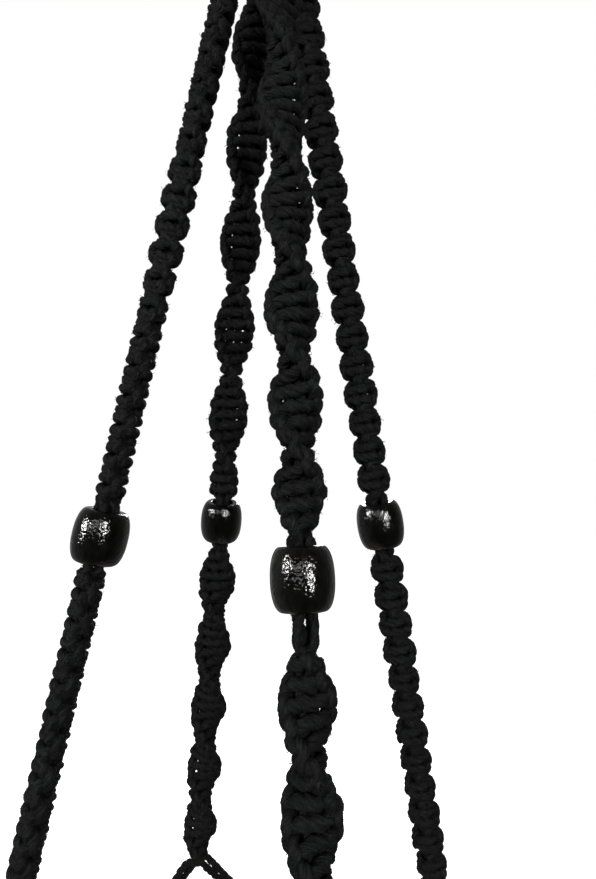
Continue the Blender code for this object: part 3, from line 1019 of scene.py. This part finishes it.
def make_wrap(name, top_z):
    """One cord wound round the gathered cords, its ends tucked in."""
    turns = round(WRAP_HEIGHT / CORD)
    count = turns * WRAP_STEPS
    route = []
    for i in range(count + 1):
        angle = math.tau * i / WRAP_STEPS
        inside = max(ease(1 - i / WRAP_TUCK_STEPS), ease(1 - (count - i) / WRAP_TUCK_STEPS))
        radius = mix(WRAP_RADIUS - CORD_RADIUS, WRAP_RADIUS - CORD, inside)
        z = mix(top_z - CORD_RADIUS, top_z - WRAP_HEIGHT + CORD_RADIUS, i / count)
        route.append((at(math.cos(angle) * radius, math.sin(angle) * radius, z), WRAP_CORD_RADIUS))
    wrap = add_strand(name + "_cord", route, COTTON)
    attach(wrap, "hanger")
    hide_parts(name)


make_wrap("top_wrap", TOP_WRAP_Z)
make_wrap("bottom_wrap", BOTTOM_WRAP_Z)

FOLD_RADIUS = 0.0019
FOLD_STEPS = 10
FOLD_MIDDLE = 0.55
FOLD_BOW_OUT = 0.0012
# For each column of the fold: where its outer and its inner cord go in the bundle, as (angle, inside)
FOLD_SPOTS = (
    ((150, False), (120, False)),
    ((90, False), (90, True)),
    ((60, False), (0, True)),
    ((30, False), (0, False)),
)


def fold_spot(angle, inside):
    return outward(angle) * (BUNDLE_INNER if inside else BUNDLE_OUTER)


def fold_bow(x, reach):
    """Half a turn over the ring's wire at one place along it."""
    wire_z = RING_WIRE - RING_RADIUS - math.sqrt(RING_RADIUS**2 - x**2)
    angles = [math.pi * i / FOLD_STEPS for i in range(FOLD_STEPS + 1)]
    return [at(x, reach * math.cos(angle), wire_z + reach * math.sin(angle)) for angle in angles]


def fold_tail(end, start):
    """From inside the top wrapping up to one side of the ring."""
    bulge = at(0, math.copysign(FOLD_BOW_OUT, start[1]), 0)
    middle = mix(start, end + UP * TOP_WRAP_Z, FOLD_MIDDLE) + bulge
    return [end + UP * (TOP_WRAP_Z - TOP_TUCK), end + UP * (TOP_WRAP_Z - 0.001), middle]


def make_fold():
    """Eight cords folded over the ring in two layers, both halves running into the top wrapping."""
    for column in range(4):
        for layer in (0, 1):
            reach = RING_WIRE + FOLD_GAP + FOLD_RADIUS * (3 if layer == 0 else 1)
            back = fold_spot(*FOLD_SPOTS[column][layer])
            angle, inside = FOLD_SPOTS[3 - column][layer]
            fore = fold_spot(angle + 180, inside)
            bow = fold_bow((column - 1.5) * CORD, reach)
            places = fold_tail(back, bow[0]) + bow + fold_tail(fore, bow[-1])[::-1]
            route = [(place, FOLD_RADIUS) for place in places]
            name = f"ring_fold_cord_{column * 2 + layer + 1}"
            cord = add_strand(name, route, COTTON, hair_reach=FOLD_HAIR_REACH)
            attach(cord, "hanger")
            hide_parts("ring_cord_fold", "top_cord_bundle")


make_fold()


# ---- ring, beads and pot

RING_SECTION = 24
RING_SEGMENTS = 144
BEAD_SEGMENTS = 80
BEAD_LEVELS = 40
BEAD_BARREL = 2.25
BEAD_EDGE = 0.0006
BEAD_CHAMFER = BEAD_EDGE * 0.3
POT_SEGMENTS = 160
POT_PANEL = 0.012
POT_ROUND_STEPS = 8
POT_FOOT_ROUND = 0.0030
POT_RIM_ROUND = 0.0022
POT_FLOOR_ROUND = 0.0080
POT_MIDDLE = 0.0004
POT_MIDDLE_ROUND = 0.0001


def make_ring():
    """A round steel bar bent into a ring, which stands upright and faces the front."""
    angles = np.arange(RING_SECTION) * math.tau / RING_SECTION
    outline = [(RING_RADIUS + RING_WIRE * math.cos(a), RING_WIRE * math.sin(a)) for a in angles]
    place = at(0, 0, RING_WIRE - RING_RADIUS)
    ring = turned("steel_ring", outline, RING_SEGMENTS, STEEL, place, at(0, 1, 0))
    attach(ring, "ring")
    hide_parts("hanging_ring")


def make_bead(arm):
    """A turned barrel bead with softened edges round its bore."""
    half = BEAD_LENGTH / 2
    bulge = BEAD_RADIUS - BEAD_END_RADIUS
    outline = [(BEAD_BORE, -half + BEAD_EDGE), (BEAD_BORE, half - BEAD_EDGE)]
    outline.append((BEAD_BORE + BEAD_CHAMFER, half - BEAD_CHAMFER))
    outline.append((BEAD_BORE + BEAD_EDGE, half))
    for i in range(1, BEAD_LEVELS):
        height = half * math.cos(math.pi * i / BEAD_LEVELS)
        swell = max(0.0, 1 - abs(height / half) ** BEAD_BARREL) ** 0.5
        outline.append((BEAD_END_RADIUS + bulge * swell, height))
    outline.append((BEAD_BORE + BEAD_EDGE, -half))
    outline.append((BEAD_BORE + BEAD_CHAMFER, -half + BEAD_CHAMFER))
    place = arm_point(ARMS[arm], BEAD_Z + BEAD_OFFSET[arm])
    axis = arm_direction(ARMS[arm])
    name = f"{arm}_lacquered_bead"
    bead = turned(name, outline[::-1], BEAD_SEGMENTS, LACQUER, place, axis)
    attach(bead, f"{arm}_bead")
    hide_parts(f"{arm}_bead")


def make_pot():
    """A plain tapered pot with a soft rim and foot."""
    base_z = POT_RIM_Z - POT_HEIGHT
    floor_z = base_z + POT_FLOOR
    inner_top = POT_RIM_RADIUS - POT_WALL
    corners = [
        (POT_MIDDLE, base_z, POT_MIDDLE_ROUND),
        (POT_BASE_RADIUS, base_z, POT_FOOT_ROUND),
        (POT_RIM_RADIUS, POT_RIM_Z, POT_RIM_ROUND),
        (inner_top, POT_RIM_Z, POT_RIM_ROUND),
        (pot_radius(floor_z) - POT_WALL, floor_z, POT_FLOOR_ROUND),
        (POT_MIDDLE, floor_z, POT_MIDDLE_ROUND),
    ]
    outline = []
    soft = rounded(corners, POT_ROUND_STEPS)
    for here, there in zip(soft, soft[1:] + soft[:1]):
        pieces = max(1, int(np.linalg.norm(there - here) / POT_PANEL))
        outline += [mix(here, there, k / pieces) for k in range(pieces)]
    pot = turned("glazed_pot", outline, POT_SEGMENTS, GLAZE)
    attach(pot, "pot")
    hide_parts("pot")


make_ring()
for arm_name in ARMS:
    make_bead(arm_name)
make_pot()


# ---- floor and light

FLOOR_Z = -1.06
FLOOR_HALF = 4.0

# The world's strength as a light, by a direction's Y: from this much in front to this much behind
WORLD_RAMP = {"From Min": -0.5, "From Max": 0.9, "To Min": 0.05, "To Max": 0.38}

# Windows give highlights only, and fills give soft light only: place, width, height, watts
WINDOW_TARGET = at(0, 0, BEAD_Z)
WINDOWS = {
    "left_window": (at(-1.27, -0.22, -0.02), 0.11, 0.24, 25),
    "right_window": (at(0.20, -1.31, -0.08), 0.11, 0.52, 31),
    "window_bar": (at(-0.78, -1.05, 0.04), 1.35, 0.05, 7),
    "rear_window": (at(0.55, 1.15, 0.0), 0.13, 0.50, 8),
}
FILL_TARGET = at(0, 0, -0.55)
FILLS = {
    "left_fill": (at(-1.2, -0.8, -0.35), 0.7, 0.7, 21),
    "right_fill": (at(0.9, -1.1, -0.45), 0.7, 0.7, 12),
    "rear_fill": (at(0.3, 1.4, -0.40), 0.7, 0.7, 16),
    "overhead": (at(0, 0, 1.6), 2.4, 2.4, 45),
}


def make_floor():
    """A pale floor that the camera sees as white, and that neither lights nor mirrors the pieces."""
    signs = ((-1, -1), (1, -1), (1, 1), (-1, 1))
    corners = [(x * FLOOR_HALF, y * FLOOR_HALF, FLOOR_Z) for x, y in signs]
    mesh = bpy.data.meshes.new("floor")
    mesh.from_pydata(corners, [], [(0, 1, 2, 3)])
    floor = bpy.data.objects.new("floor", mesh)
    bpy.context.scene.collection.objects.link(floor)
    finish = Finish("pale_floor", (0.64, 0.64, 0.64), 0.9, Specular_IOR_Level=0.1)
    tone = finish.noise(finish.coordinates((1, 1, 1)), 3, 2)
    finish.feed("Base Color", finish.ramp(tone, (0.3, 0.62), (0.7, 0.66)))
    finish.shader.inputs["Emission Color"].default_value = (1, 1, 1, 1)
    finish.shader.inputs["Emission Strength"].default_value = 0.9
    mesh.materials.append(finish.material)
    floor.visible_glossy = False
    floor.visible_diffuse = False


def make_light(name, target, place, width, height, power):
    """A rectangular area light that faces a target."""
    light = bpy.data.lights.new(name, "AREA")
    light.shape = "RECTANGLE"
    light.size = width
    light.size_y = height
    light.energy = power
    lamp = bpy.data.objects.new(name, light)
    back = unit(place - target)
    side = unit(np.cross(UP, back)) if abs(back[2]) < 0.99 else at(1, 0, 0)
    matrix = np.eye(4)
    matrix[:3, 0], matrix[:3, 1], matrix[:3, 2] = side, np.cross(back, side), back
    matrix[:3, 3] = place
    lamp.matrix_world = Matrix(matrix.tolist())
    bpy.context.scene.collection.objects.link(lamp)
    return lamp


def make_world():
    """White all round to the camera; as a light, bright behind the hanger and dim in front of it."""
    world = bpy.data.worlds.new("studio")
    bpy.context.scene.world = world
    world.use_nodes = True
    nodes, links = world.node_tree.nodes, world.node_tree.links
    background = nodes["Background"]
    background.inputs["Color"].default_value = (1, 1, 1, 1)
    where = nodes.new("ShaderNodeTexCoord")
    split = nodes.new("ShaderNodeSeparateXYZ")
    ramp = nodes.new("ShaderNodeMapRange")
    for socket, value in WORLD_RAMP.items():
        ramp.inputs[socket].default_value = value
    seen = nodes.new("ShaderNodeLightPath")
    pick = nodes.new("ShaderNodeMath")
    pick.operation = "MAXIMUM"
    links.new(where.outputs["Generated"], split.inputs[0])
    links.new(split.outputs["Y"], ramp.inputs["Value"])
    links.new(ramp.outputs["Result"], pick.inputs[0])
    links.new(seen.outputs["Is Camera Ray"], pick.inputs[1])
    links.new(pick.outputs[0], background.inputs["Strength"])


make_floor()
make_world()
for name, spec in WINDOWS.items():
    make_light(name, WINDOW_TARGET, *spec).visible_diffuse = False
for name, spec in FILLS.items():
    make_light(name, FILL_TARGET, *spec).visible_glossy = False
bpy.context.scene.view_settings.view_transform = "Standard"
